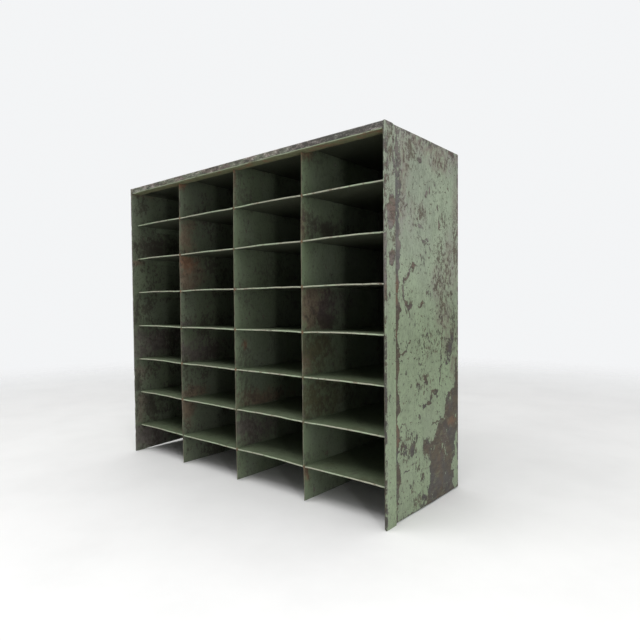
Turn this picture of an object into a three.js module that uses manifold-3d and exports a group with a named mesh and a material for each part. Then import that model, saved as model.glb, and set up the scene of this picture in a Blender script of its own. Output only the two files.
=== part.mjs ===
// Sheet-steel sorting rack: four columns of seven open compartments above an open foot bay.
// Millimetres, +Z up. The origin is on the floor, midway across the width and the depth; the open front faces -Y.

import * as THREE from 'three';
import { mergeVertices } from 'three/addons/utils/BufferGeometryUtils.js';
import Module from 'manifold-3d';

// Driving dimensions
const WIDTH = 1000; // over the front edge bars
const DEPTH = 354;
const HEIGHT = 876;
const COLUMNS = 4;
const SHELVES = 7;
const ROW_PITCH = 111;
const LOWEST_SHELF = 88; // height of the middle of the lowest shelf's hem
const GRID_SETBACK = 14; // shelves and dividers stand this far behind the front plane

// Sheet and bar stock
const CASE_SHEET = 1.5;
const GRID_SHEET = 1.2;
const BAR_WIDTH = 40;
const BAR_THICKNESS = 3;
const BAR_CORNER = 12;
const GAP = 0.3; // clearance between neighbouring pieces

// Folds
const RAIL_HEIGHT = 17; // front fold of the top sheet
const RAIL_RETURN = 32; // its return, back under the top
const TOP_END_FLANGE = 15;
const RETURN_END_NOTCH = 8;
const REAR_FLANGE = 20; // side and top sheets turn in behind the back sheet
const HEM_THICKNESS = 3.6;
const HEM_DEPTH = 12;
const HEM_NOTCH = 8; // the hem is cut away this wide at each divider
const HEM_END_NOTCH = 12; // and this far short of each side
const ANGLE_LEG = 15;
const ANGLE_START = 90; // behind the front plane
const ANGLE_LENGTH = 240;

// Feet: the bars and the back sheet reach the floor, the other sheets stop short of it
const SIDE_LIFT = 2.5;
const LEFT_LIFT_FRONT = 1;
const LEFT_LIFT_REAR = 12; // the left side's lower edge runs up towards the back
const DIVIDER_LIFT = 3;

// Derived places
const FRONT = -DEPTH / 2;
const REAR = DEPTH / 2;
const SIDE_OUTER = WIDTH / 2 - BAR_THICKNESS - GAP;
const SIDE_INNER = SIDE_OUTER - CASE_SHEET;
const FLANGE_INNER = SIDE_OUTER - REAR_FLANGE;
const BACK_OUTER = REAR - CASE_SHEET - GAP;
const BACK_INNER = BACK_OUTER - CASE_SHEET;
const CEILING = HEIGHT - CASE_SHEET;
const GRID_FRONT = FRONT + GRID_SETBACK;
const GRID_REAR = BACK_INNER - GAP;
const GRID_END = SIDE_INNER - GAP;
const GRID_MIDDLE = (GRID_FRONT + GRID_REAR) / 2;
const COLUMN_PITCH = WIDTH / COLUMNS;
const SLOT = GRID_SHEET + 2 * GAP;
const PLATE_TOP = HEM_THICKNESS / 2; // above the middle of the hem
const PLATE_UNDERSIDE = PLATE_TOP - GRID_SHEET;

const wasm = await Module();
wasm.setup();

// Materials
const steel = (color, roughness, metalness) => new THREE.MeshStandardMaterial({ color, roughness, metalness });
const sidePaint = steel(0x8a9884, 0.6, 0.15);
const casePaint = steel(0x6d7565, 0.65, 0.15);
const gridPaint = steel(0x55644c, 0.7, 0.1);
const hiddenSteel = steel(0x5a5650, 0.75, 0.3);

// A solid for manifold-3d from any closed three.js geometry
function solid(geometry) {
  const bare = geometry.index ? geometry.toNonIndexed() : geometry.clone();
  bare.deleteAttribute('normal');
  bare.deleteAttribute('uv');
  const merged = mergeVertices(bare, 1e-4);
  return new wasm.Manifold(new wasm.Mesh({
    numProp: 3,
    vertProperties: new Float32Array(merged.attributes.position.array),
    triVerts: new Uint32Array(merged.index.array),
  }));
}

// Closed geometries joined into one body, less what the cutters take out of it
function joined(geometries, cutters = []) {
  const whole = geometries.map(solid).reduce((sum, next) => sum.add(next));
  const body = cutters.map(solid).reduce((rest, cutter) => rest.subtract(cutter), whole);
  const { vertProperties, triVerts } = body.getMesh();
  const geometry = new THREE.BufferGeometry();
  geometry.setAttribute('position', new THREE.BufferAttribute(new Float32Array(vertProperties), 3));
  geometry.setIndex(new THREE.BufferAttribute(new Uint32Array(triVerts), 1));
  geometry.computeVertexNormals();
  return geometry;
}

// A box between two corners
function block([x0, y0, z0], [x1, y1, z1]) {
  const geometry = new THREE.BoxGeometry(x1 - x0, y1 - y0, z1 - z0);
  return geometry.translate((x0 + x1) / 2, (y0 + y1) / 2, (z0 + z1) / 2);
}

function outline(points) {
  return new THREE.Shape(points.map(([u, v]) => new THREE.Vector2(u, v)));
}

// A flat outline in (x, y), thickened upwards from z = 0
function lying(shape, thickness) {
  return new THREE.ExtrudeGeometry(shape, { depth: thickness, bevelEnabled: false, curveSegments: 6 });
}

// An outline in (y, z), thickened along +X from x = 0
function standing(shape, thickness) {
  const axes = [new THREE.Vector3(0, 1, 0), new THREE.Vector3(0, 0, 1), new THREE.Vector3(1, 0, 0)];
  return lying(shape, thickness).applyMatrix4(new THREE.Matrix4().makeBasis(...axes));
}

const rack = new THREE.Group();

function place(name, geometry, material, x = 0, y = 0, z = 0) {
  const mesh = new THREE.Mesh(geometry, material);
  mesh.name = name;
  mesh.position.set(x, y, z);
  rack.add(mesh);
}

// Sides: a sheet with its rear edge turned in, and a flat bar outside along its front edge
function sideSheet(side, liftFront, liftRear) {
  const face = outline([[FRONT, liftFront], [REAR, liftRear], [REAR, HEIGHT], [FRONT, HEIGHT]]);
  const sheet = standing(face, CASE_SHEET).translate(side > 0 ? SIDE_INNER : -SIDE_OUTER, 0, 0);
  const reach = [side * FLANGE_INNER, side * (SIDE_OUTER - GAP)].sort((a, b) => a - b);
  const flange = block([reach[0], REAR - CASE_SHEET, liftRear], [reach[1], REAR, HEIGHT]);
  return joined([sheet, flange]);
}

function frontBar() {
  const back = FRONT + BAR_WIDTH;
  const bar = outline([[FRONT, 0], [back, 0]]);
  bar.absarc(back - BAR_CORNER, HEIGHT - BAR_CORNER, BAR_CORNER, 0, Math.PI / 2);
  bar.lineTo(FRONT, HEIGHT);
  return standing(bar, BAR_THICKNESS);
}

place('side_sheet_left', sideSheet(-1, LEFT_LIFT_FRONT, LEFT_LIFT_REAR), sidePaint);
place('side_sheet_right', sideSheet(1, SIDE_LIFT, SIDE_LIFT), sidePaint);
place('front_bar_left', frontBar(), sidePaint, -WIDTH / 2);
place('front_bar_right', frontBar(), sidePaint, WIDTH / 2 - BAR_THICKNESS);

// Top: one sheet, folded down and back at the front, and turned down at the rear and at both ends
function topSheet() {
  const railFoot = HEIGHT - RAIL_HEIGHT;
  const flangeFoot = HEIGHT - REAR_FLANGE;
  const railBack = FRONT + CASE_SHEET;
  const plane = block([-GRID_END, FRONT, CEILING], [GRID_END, REAR, HEIGHT]);
  const rail = block([-GRID_END, FRONT, railFoot], [GRID_END, railBack, HEIGHT]);
  const returnReach = GRID_END - RETURN_END_NOTCH;
  const back = block([-returnReach, FRONT, railFoot], [returnReach, FRONT + RAIL_RETURN, railFoot + CASE_SHEET]);
  const flangeReach = FLANGE_INNER - GAP;
  const rear = block([-flangeReach, REAR - CASE_SHEET, flangeFoot], [flangeReach, REAR, HEIGHT]);
  const pieces = [plane, rail, back, rear];
  const endFoot = HEIGHT - TOP_END_FLANGE;
  for (const x of [-GRID_END, GRID_END - CASE_SHEET]) {
    pieces.push(block([x, FRONT + BAR_WIDTH, endFoot], [x + CASE_SHEET, GRID_REAR, HEIGHT]));
  }
  // Its corners are cut away where the side sheets' rear flanges stand
  const clear = REAR - CASE_SHEET - GAP;
  const left = block([-WIDTH, clear, 0], [-flangeReach, DEPTH, 2 * HEIGHT]);
  const right = block([flangeReach, clear, 0], [WIDTH, DEPTH, 2 * HEIGHT]);
  return joined(pieces, [left, right]);
}

place('top_sheet', topSheet(), casePaint);

// Back: a flat sheet in front of the rear flanges, down to the floor
place('back_sheet', block([-GRID_END, BACK_INNER, 0], [GRID_END, BACK_OUTER, CEILING - GAP]), casePaint);

// Shelves and dividers cross like an egg crate: shelves are slotted from the front, dividers from the rear
const dividerPlaces = Array.from({ length: COLUMNS - 1 }, (_, i) => (i + 1 - COLUMNS / 2) * COLUMN_PITCH);
const shelfPlaces = Array.from({ length: SHELVES }, (_, i) => LOWEST_SHELF + i * ROW_PITCH);

function shelf() {
  const slotEnd = GRID_MIDDLE + GAP;
  const points = [[GRID_END, GRID_REAR], [-GRID_END, GRID_REAR], [-GRID_END, GRID_FRONT]];
  for (const x of dividerPlaces) {
    points.push([x - SLOT / 2, GRID_FRONT], [x - SLOT / 2, slotEnd]);
    points.push([x + SLOT / 2, slotEnd], [x + SLOT / 2, GRID_FRONT]);
  }
  points.push([GRID_END, GRID_FRONT]);
  const plate = lying(outline(points), GRID_SHEET).translate(0, 0, PLATE_UNDERSIDE);
  const starts = [-GRID_END + HEM_END_NOTCH, ...dividerPlaces.map((x) => x + HEM_NOTCH / 2)];
  const ends = [...dividerPlaces.map((x) => x - HEM_NOTCH / 2), GRID_END - HEM_END_NOTCH];
  const hemBack = GRID_FRONT + HEM_DEPTH;
  const hems = starts.map((x, i) => block([x, GRID_FRONT, -PLATE_TOP], [ends[i], hemBack, PLATE_TOP]));
  return joined([plate, ...hems]);
}

function divider() {
  const railClear = HEIGHT - RAIL_HEIGHT - GAP;
  const returnClear = FRONT + RAIL_RETURN + GAP;
  const top = CEILING - GAP;
  const points = [[GRID_REAR, top], [returnClear, top], [returnClear, railClear], [GRID_FRONT, railClear]];
  points.push([GRID_FRONT, DIVIDER_LIFT], [GRID_REAR, DIVIDER_LIFT]);
  const plateMiddle = (PLATE_TOP + PLATE_UNDERSIDE) / 2;
  for (const z of shelfPlaces) {
    const low = z + plateMiddle - SLOT / 2;
    points.push([GRID_REAR, low], [GRID_MIDDLE, low], [GRID_MIDDLE, low + SLOT], [GRID_REAR, low + SLOT]);
  }
  return standing(outline(points), GRID_SHEET).translate(-GRID_SHEET / 2, 0, 0);
}

// Angles along both sides carry the shelf ends; the origin of each is the corner under the shelf
function shelfAngle(side) {
  const legs = outline([[0, 0], [ANGLE_LEG, 0], [ANGLE_LEG, -GRID_SHEET], [GRID_SHEET, -GRID_SHEET],
    [GRID_SHEET, -ANGLE_LEG], [0, -ANGLE_LEG]]);
  const length = lying(legs, ANGLE_LENGTH).rotateX(Math.PI / 2);
  if (side > 0) {
    return length.rotateZ(Math.PI).translate(0, FRONT + ANGLE_START, 0);
  }
  return length.translate(0, FRONT + ANGLE_START + ANGLE_LENGTH, 0);
}

const shelfGeometry = shelf();
const dividerGeometry = divider();
const angleGeometry = { left: shelfAngle(-1), right: shelfAngle(1) };

shelfPlaces.forEach((z, i) => {
  place(`shelf_${i + 1}`, shelfGeometry, gridPaint, 0, 0, z);
  const under = z + PLATE_UNDERSIDE - GAP;
  place(`shelf_angle_left_${i + 1}`, angleGeometry.left, hiddenSteel, -GRID_END, 0, under);
  place(`shelf_angle_right_${i + 1}`, angleGeometry.right, hiddenSteel, GRID_END, 0, under);
});

dividerPlaces.forEach((x, i) => place(`divider_${i + 1}`, dividerGeometry, gridPaint, x));

export default rack;
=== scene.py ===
import math

import bmesh
import bpy
import numpy as np
from mathutils import Matrix, Vector


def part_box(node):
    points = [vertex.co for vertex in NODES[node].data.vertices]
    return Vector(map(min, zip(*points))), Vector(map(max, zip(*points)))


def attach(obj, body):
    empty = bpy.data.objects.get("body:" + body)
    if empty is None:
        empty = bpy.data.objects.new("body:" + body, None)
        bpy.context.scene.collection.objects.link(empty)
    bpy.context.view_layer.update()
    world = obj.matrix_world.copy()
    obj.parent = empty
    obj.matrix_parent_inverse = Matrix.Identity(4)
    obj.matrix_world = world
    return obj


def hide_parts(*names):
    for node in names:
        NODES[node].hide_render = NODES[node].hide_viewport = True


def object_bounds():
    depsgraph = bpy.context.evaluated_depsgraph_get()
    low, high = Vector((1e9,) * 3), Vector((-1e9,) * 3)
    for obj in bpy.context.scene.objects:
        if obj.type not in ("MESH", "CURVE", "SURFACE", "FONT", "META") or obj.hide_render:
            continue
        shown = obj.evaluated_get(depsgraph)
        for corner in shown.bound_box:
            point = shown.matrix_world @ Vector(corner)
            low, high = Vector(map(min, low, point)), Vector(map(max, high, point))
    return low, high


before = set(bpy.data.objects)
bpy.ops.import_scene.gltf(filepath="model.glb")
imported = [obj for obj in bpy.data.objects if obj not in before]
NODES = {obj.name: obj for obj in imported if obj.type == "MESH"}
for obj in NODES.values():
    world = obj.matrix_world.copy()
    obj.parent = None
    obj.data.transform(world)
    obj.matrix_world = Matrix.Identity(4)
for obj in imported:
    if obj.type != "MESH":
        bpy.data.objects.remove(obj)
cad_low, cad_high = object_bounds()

# The sheet-steel sorting rack, in metres: X across the open front, Y from the front to the back, Z up.
FRONT, REAR = cad_low.y, cad_high.y
HEIGHT = cad_high.z
BAR_LOW, BAR_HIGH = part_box("front_bar_right")
SIDE_LOW, SIDE_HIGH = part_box("side_sheet_right")
TOP_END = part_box("top_sheet")[1].x
BACK_LOW, BACK_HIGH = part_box("back_sheet")
ANGLES = sorted(name for name in NODES if "angle" in name)
SHELVES = sorted(name for name in NODES if name.startswith("shelf_") and name not in ANGLES)
DIVIDERS = sorted(name for name in NODES if name.startswith("divider_"))
DIVIDER_X = [(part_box(name)[0].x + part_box(name)[1].x) / 2 for name in DIVIDERS]
HEM_Z = [(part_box(name)[0].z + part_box(name)[1].z) / 2 for name in SHELVES]
GRID_FRONT, GRID_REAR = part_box(SHELVES[0])[0].y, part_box(SHELVES[0])[1].y
GRID_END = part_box(SHELVES[0])[1].x
GRID_MIDDLE = (GRID_FRONT + GRID_REAR) / 2
COLUMN = (cad_high.x - cad_low.x) / (len(DIVIDERS) + 1)

# Stock and folds
CASE_SHEET = 0.0015
GRID_SHEET = 0.0012
GAP = 0.0003  # between neighbouring pieces
BAR_CORNER = 0.012
BEND_RADIUS = 0.002  # to the middle of the sheet, as is the next
HEM_RADIUS = 0.0012
HEM_DEPTH = 0.012
HEM_NOTCH = 0.004  # half the gap in the hem at a divider
CORNER_CUT = 0.004  # the plate is cut back this far where it has no hem
SLOT_HALF = 0.0009
RAIL_HEIGHT = 0.017
RAIL_RETURN = 0.032
RETURN_END_NOTCH = 0.002
FLANGE = 0.020  # the sides and the top turn in this far at the rear
TOP_END_FLANGE = 0.015
LEFT_FOOT = (0.001, 0.012)  # height of the left side's lower edge at the front and the rear
EDGE_ROUNDING = 0.00035
BAR_ROUNDING = 0.0006
CELL = 0.014  # size of the mesh cells on a flat sheet

# How far the sheets are out of true
GRID_LEAN = 0.003
SIDE_WAVE, SIDE_RIPPLE = 0.0013, 0.0005
BAR_NICK = 0.0016
BAR_FOOT_WEAR = 0.0008
TOP_SAG = 0.0022
LIP_WAVE = 0.0007
RAIL_DENT = 0.0012
BACK_BULGE = 0.0008
SHELF_BOW = (0.0006, 0.0024)  # least and most
HEM_RIPPLE = 0.0004
PLATE_WAVE = 0.0008
DIVIDER_WAVE, DIVIDER_RIPPLE = 0.0005, 0.0003


def new_object(name, data):
    """An object in the scene that shows the data."""
    made = bpy.data.objects.new(name, data)
    bpy.context.scene.collection.objects.link(made)
    return made


# ---------------- sheet metal meshes

def stations(low, high, step, marks=()):
    """Places from low to high about a step apart, with one exactly at each mark."""
    fixed = sorted({low, high, *[m for m in marks if low < m < high]})
    places = [low]
    for a, b in zip(fixed, fixed[1:]):
        count = max(1, round((b - a) / step))
        places += [a + (b - a) * k / count for k in range(1, count + 1)]
    return np.array(places)


def folded(corners, radius, step=CELL, arc_steps=6):
    """Points along a line through corners, with each bend rounded to a radius."""
    corners = [np.array(c, float) for c in corners]
    points = [corners[0]]

    def straight(end):
        start = points[-1]
        count = max(1, round(np.linalg.norm(end - start) / step))
        points.extend(start + (end - start) * k / count for k in range(1, count + 1))

    for before, corner, after in zip(corners, corners[1:], corners[2:]):
        into = (before - corner) / np.linalg.norm(before - corner)
        out = (after - corner) / np.linalg.norm(after - corner)
        half = math.acos(float(np.clip(into @ out, -1, 1))) / 2
        centre = corner + (into + out) / np.linalg.norm(into + out) * radius / math.sin(half)
        straight(corner + into * radius / math.tan(half))
        first = points[-1] - centre
        last = corner + out * radius / math.tan(half) - centre
        for k in range(1, arc_steps + 1):
            mixed = first * (1 - k / arc_steps) + last * k / arc_steps
            points.append(centre + mixed / np.linalg.norm(mixed) * radius)
    straight(corners[-1])
    return np.array(points)


def flat_profile(value, places):
    """A straight profile with one value in its first axis and the places in its second."""
    return np.stack([np.full_like(places, value), places], 1)


def swept(profile, places, place_axis):
    """A grid of points: a profile in the other two axes, carried along one axis."""
    others = [axis for axis in range(3) if axis != place_axis]
    grid = np.zeros((len(profile), len(places), 3))
    grid[:, :, place_axis] = places
    grid[:, :, others] = profile[:, None, :]
    return grid


def cell_centres(grid):
    """The middles of a grid's cells, as x, y and z."""
    middle = (grid[:-1, :-1] + grid[1:, :-1] + grid[:-1, 1:] + grid[1:, 1:]) / 4
    return middle.transpose(2, 0, 1)


def mesh_of(name, patches):
    """One mesh from patches, each a grid of points and a mask of the cells to keep, or None for all."""
    vertices, faces = [], []
    for grid, keep in patches:
        base, width = len(vertices), grid.shape[1]
        vertices += grid.reshape(-1, 3).tolist()
        if keep is None:
            keep = np.ones((grid.shape[0] - 1, width - 1), bool)
        for i, j in np.argwhere(keep).tolist():
            corner = base + i * width + j
            faces.append((corner, corner + 1, corner + width + 1, corner + width))
    mesh = bpy.data.meshes.new(name)
    mesh.from_pydata(vertices, [], faces)
    work = bmesh.new()
    work.from_mesh(mesh)
    bmesh.ops.remove_doubles(work, verts=work.verts, dist=1e-6)
    bmesh.ops.delete(work, geom=[v for v in work.verts if not v.link_faces], context="VERTS")
    bmesh.ops.recalc_face_normals(work, faces=work.faces)
    work.to_mesh(mesh)
    work.free()
    return mesh


def sheet_piece(node, patches, thickness, material, bend=None, rounding=EDGE_ROUNDING):
    """A piece of sheet made from patches of its middle surface, which stands for a CAD node."""
    piece = new_object(node + "_formed", mesh_of(node + "_formed", patches))
    shell = piece.modifiers.new("shell", "SOLIDIFY")
    shell.thickness = thickness
    shell.offset = 0
    shell.use_even_offset = True
    edges = piece.modifiers.new("edges", "BEVEL")
    edges.width = rounding
    edges.segments = 2
    edges.limit_method = "ANGLE"
    edges.angle_limit = math.radians(55)
    evaluated = piece.evaluated_get(bpy.context.evaluated_depsgraph_get())
    mesh = bpy.data.meshes.new_from_object(evaluated)
    piece.modifiers.clear()
    piece.data = mesh
    if bend:
        points = np.zeros(len(mesh.vertices) * 3)
        mesh.vertices.foreach_get("co", points)
        mesh.vertices.foreach_set("co", bend(points.reshape(-1, 3)).ravel())
    mesh.polygons.foreach_set("use_smooth", [True] * len(mesh.polygons))
    mesh.set_sharp_from_angle(angle=math.radians(40))
    mesh.update()
    mesh.materials.clear()
    mesh.materials.append(material)
    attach(piece, "root")
    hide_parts(node)
    return piece


# ---------------- dents and waves

def waves(points, wavelength, seed, count=7):
    """Smooth unevenness between about -1 and 1 at each point."""
    draw = np.random.default_rng(seed)
    total = np.zeros(len(points))
    for _ in range(count):
        direction = draw.normal(size=3)
        direction /= np.linalg.norm(direction)
        pull = direction * 2 * math.pi / wavelength * draw.uniform(0.6, 1.5)
        total += np.sin(points @ pull + draw.uniform(0, 2 * math.pi))
    return total / math.sqrt(count) / 1.5


def fade(values, low, high):
    """0 at low and 1 at high, smoothly."""
    t = np.clip((values - low) / (high - low), 0, 1)
    return t * t * (3 - 2 * t)


def grid_lean(points):
    """How far the whole egg crate's front leans to the left between its ends, metres."""
    x, y, z = points.T
    inward = fade(-np.abs(x), -GRID_END, -GRID_END + 0.15)
    frontal = fade(-y, -GRID_MIDDLE, -GRID_FRONT)
    height = fade(z, 0, 0.15) * fade(-z, -HEIGHT + 0.02, -HEIGHT * 0.72)
    return -GRID_LEAN * inward * frontal * height


# ---------------- pieces

def side_grid(side):
    middle = side * (SIDE_HIGH.x - CASE_SHEET / 2)
    flange_tip = side * (SIDE_HIGH.x - FLANGE)
    rear_middle = REAR - CASE_SHEET / 2
    profile = folded([(middle, FRONT), (middle, rear_middle), (flange_tip, rear_middle)], BEND_RADIUS)
    grid = swept(profile, stations(0, 1, CELL / HEIGHT), 2)
    foot = np.full(len(profile), SIDE_LOW.z)
    if side < 0:
        foot = np.interp(profile[:, 1], [FRONT, REAR], LEFT_FOOT)
    grid[:, :, 2] = foot[:, None] + (SIDE_HIGH.z - foot[:, None]) * grid[:, :, 2]
    return grid


def side_sheet(side, material):
    node = "side_sheet_left" if side < 0 else "side_sheet_right"

    def bend(points):
        y = points[:, 1]
        free = fade(y, FRONT, FRONT + 0.06) * fade(-y, -REAR, -REAR + 0.05)
        shift = SIDE_WAVE * waves(points, 0.33, 11 + side) + SIDE_RIPPLE * waves(points, 0.12, 15 + side)
        moved = points.copy()
        moved[:, 0] += shift * free
        return moved

    return sheet_piece(node, [(side_grid(side), None)], CASE_SHEET, material, bend)


def front_bar(side, material):
    node = "front_bar_left" if side < 0 else "front_bar_right"
    low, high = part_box(node)
    corner_start = high.y - BAR_CORNER
    across = np.concatenate([
        stations(low.y, corner_start, 0.005),
        [corner_start + BAR_CORNER * math.sin(math.pi / 2 * k / 8) for k in range(1, 9)],
    ])
    past = np.clip(across - corner_start, 0, BAR_CORNER)
    top = high.z - BAR_CORNER + np.sqrt(np.maximum(BAR_CORNER ** 2 - past ** 2, 0))
    grid = swept(flat_profile((low.x + high.x) / 2, across), stations(0, 1, 0.006 / HEIGHT), 2)
    grid[:, :, 2] = low.z + (top[:, None] - low.z) * grid[:, :, 2]

    def bend(points):
        _, y, z = points.T
        front_edge = fade(-y, -low.y - 0.004, -low.y)
        rear_edge = fade(y, high.y - 0.004, high.y)
        nick = np.maximum(waves(points * (1, 0.2, 1), 0.021, 31) - 0.55, 0) * BAR_NICK
        moved = points.copy()
        moved[:, 1] += nick * front_edge - nick * rear_edge
        foot = fade(-z, -0.01, 0)
        moved[:, 2] += foot * np.maximum(waves(points, 0.02, 37), 0) * BAR_FOOT_WEAR
        return moved

    return sheet_piece(node, [(grid, None)], high.x - low.x, material, bend, BAR_ROUNDING)


def top_profile():
    """The top sheet's middle line from the front fold's return to the rear flange, as depth and height."""
    half = CASE_SHEET / 2
    plane, foot = HEIGHT - half, HEIGHT - RAIL_HEIGHT + half
    front, rear = FRONT + half, REAR - half
    rail = [(FRONT + RAIL_RETURN, foot), (front, foot), (front, plane)]
    return folded([*rail, (rear, plane), (rear, HEIGHT - FLANGE)], BEND_RADIUS)


def top_end_flange(profile, side, bend_start, flange_front, clear_rear):
    """The patch that turns down inside a side sheet, from where the flat sheet's bend starts."""
    half = CASE_SHEET / 2
    plane, end = HEIGHT - half, side * (TOP_END - half)
    drop = [(side * bend_start, plane), (end, plane), (end, HEIGHT - TOP_END_FLANGE)]
    depths = [y for y, z in profile if z > plane - 1e-6 and flange_front < y < clear_rear]
    return swept(folded(drop, BEND_RADIUS, 0.005), np.array(depths), 1), None


def top_bend(points):
    """Sags the top between its edges, waves the front fold's lower edge and dents its left end."""
    x, y, z = points.T
    moved = points.copy()
    sag = np.maximum(0.5 + 0.5 * waves(points, 0.30, 51), 0)
    on_top = fade(z, HEIGHT - 0.004, HEIGHT - 0.002)
    inside = fade(y, FRONT, FRONT + 0.08) * fade(-y, -REAR, -REAR + 0.06)
    inside *= fade(-np.abs(x), -TOP_END, -TOP_END + 0.08)
    moved[:, 2] -= TOP_SAG * sag * on_top * inside
    lip = fade(-z, -HEIGHT + 0.003, -HEIGHT + RAIL_HEIGHT) * fade(-y, -FRONT - 0.05, -FRONT - 0.02)
    moved[:, 2] += LIP_WAVE * waves(points * (1, 0.3, 0.3), 0.11, 53) * lip
    dented = fade(-x, 0.32, 0.40) * fade(-y, -FRONT - 0.04, -FRONT)
    low_part = fade(-z, -HEIGHT + 0.002, -HEIGHT + RAIL_HEIGHT)
    moved[:, 1] += RAIL_DENT * np.maximum(1 + waves(points, 0.05, 55), 0) * dented * low_part
    moved[:, 2] = np.minimum(moved[:, 2], HEIGHT)
    return moved


def top_sheet(material):
    profile = top_profile()
    return_end = TOP_END - RETURN_END_NOTCH
    flange_end = SIDE_HIGH.x - FLANGE - GAP
    bend_start = TOP_END - CASE_SHEET / 2 - BEND_RADIUS
    marks = [side * mark for side in (-1, 1) for mark in (return_end, flange_end, bend_start)]
    grid = swept(profile, stations(-TOP_END, TOP_END, CELL, marks), 0)
    x, y, z = cell_centres(grid)
    is_plane = z > HEIGHT - 0.001
    is_return = (z < HEIGHT - RAIL_HEIGHT + 0.004) & (y < 0)
    clear_rear = REAR - CASE_SHEET - GAP
    flange_front = FRONT + BAR_HIGH.y - BAR_LOW.y
    keep = ~(is_return & (np.abs(x) > return_end))
    keep &= ~((y > clear_rear - 0.001) & (np.abs(x) > flange_end))
    in_flange = is_plane & (y > flange_front) & (y < clear_rear - 0.001)
    keep &= ~(in_flange & (np.abs(x) > bend_start))
    ends = [top_end_flange(profile, side, bend_start, flange_front, clear_rear) for side in (-1, 1)]
    return sheet_piece("top_sheet", [(grid, keep), *ends], CASE_SHEET, material, top_bend)


def back_sheet(material):
    depth = (BACK_LOW.y + BACK_HIGH.y) / 2
    across = stations(BACK_LOW.x, BACK_HIGH.x, CELL * 1.2)
    heights = np.linspace(BACK_LOW.z, BACK_HIGH.z, 60)
    grid = swept(flat_profile(depth, heights), across, 0)

    def bend(points):
        x, _, z = points.T
        free = fade(-np.abs(x), -BACK_HIGH.x + FLANGE, -BACK_HIGH.x + 0.1)
        free *= fade(z, 0, 0.08) * fade(-z, -HEIGHT + 0.03, -HEIGHT + 0.1)
        moved = points.copy()
        moved[:, 1] += BACK_BULGE * (1 + waves(points, 0.3, 61)) * free
        return moved

    return sheet_piece("back_sheet", [(grid, None)], CASE_SHEET, material, bend)


def shelf_profile(index):
    """A shelf's middle line from the back of its hem to its rear edge, and the height of its plate."""
    hem_z = HEM_Z[index]
    plate_z = hem_z + HEM_RADIUS
    tip = GRID_FRONT + GRID_SHEET / 2
    hem_back = GRID_FRONT + HEM_DEPTH
    plate_start = tip + 0.002
    hem = [(hem_back, hem_z - HEM_RADIUS), (tip, hem_z - HEM_RADIUS), (tip, plate_z), (plate_start, plate_z)]
    marks = (GRID_FRONT + CORNER_CUT, hem_back, GRID_MIDDLE + GAP)
    plate = [(y, plate_z) for y in stations(plate_start, GRID_REAR, CELL, marks)[1:]]
    return np.concatenate([folded(hem, HEM_RADIUS * 0.999), plate]), plate_z


def hem_ends(draw):
    """Where the hem starts and ends in each column. It stops unevenly short of dividers and sides."""
    starts = [-GRID_END + draw.uniform(0.004, 0.012)]
    starts += [x + HEM_NOTCH + draw.uniform(0, 0.002) for x in DIVIDER_X]
    ends = [x - HEM_NOTCH + draw.uniform(0, 0.002) for x in DIVIDER_X]
    ends.append(GRID_END - draw.uniform(0.003, 0.008))
    return starts, ends


def shelf(index, material):
    profile, plate_z = shelf_profile(index)
    draw = np.random.default_rng(100 + index)
    starts, ends = hem_ends(draw)
    slot_sides = [x + side * SLOT_HALF for x in DIVIDER_X for side in (-1, 1)]
    grid = swept(profile, stations(-GRID_END, GRID_END, CELL, [*starts, *ends, *slot_sides]), 0)
    x, y, z = cell_centres(grid)
    in_hem = np.any([(x > start) & (x < end) for start, end in zip(starts, ends)], axis=0)
    is_roll = (z < plate_z - 1e-5) | (y < GRID_FRONT + GRID_SHEET / 2 + HEM_RADIUS)
    keep = in_hem | ~is_roll
    keep &= in_hem | (y > GRID_FRONT + CORNER_CUT)
    for place in DIVIDER_X:
        keep &= ~((np.abs(x - place) < SLOT_HALF) & (y < GRID_MIDDLE + GAP))
    bows = draw.uniform(*SHELF_BOW, len(DIVIDERS) + 1)

    def bend(points):
        x, y, _ = points.T
        moved = points.copy()
        across = (x - cad_low.x) / COLUMN
        column = np.clip(across.astype(int), 0, len(DIVIDERS))
        along = np.abs(np.sin(math.pi * across))
        frontal = fade(-y, -GRID_FRONT - 0.10, -GRID_FRONT)
        bow = bows[column] * along + HEM_RIPPLE * waves(points * (1, 0.2, 0.2), 0.06, 200 + index)
        moved[:, 2] += bow * frontal
        moved[:, 1] += HEM_RIPPLE * (1 + waves(points * (1, 0.2, 0.2), 0.09, 300 + index)) * frontal
        middle = fade(y, GRID_FRONT + 0.02, GRID_FRONT + 0.15) * fade(-y, -GRID_REAR, -GRID_REAR + 0.1)
        moved[:, 2] += PLATE_WAVE * along * waves(points, 0.2, 400 + index) * middle
        moved[:, 0] += grid_lean(points)
        return moved

    return sheet_piece(SHELVES[index], [(grid, keep)], GRID_SHEET, material, bend)


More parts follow.
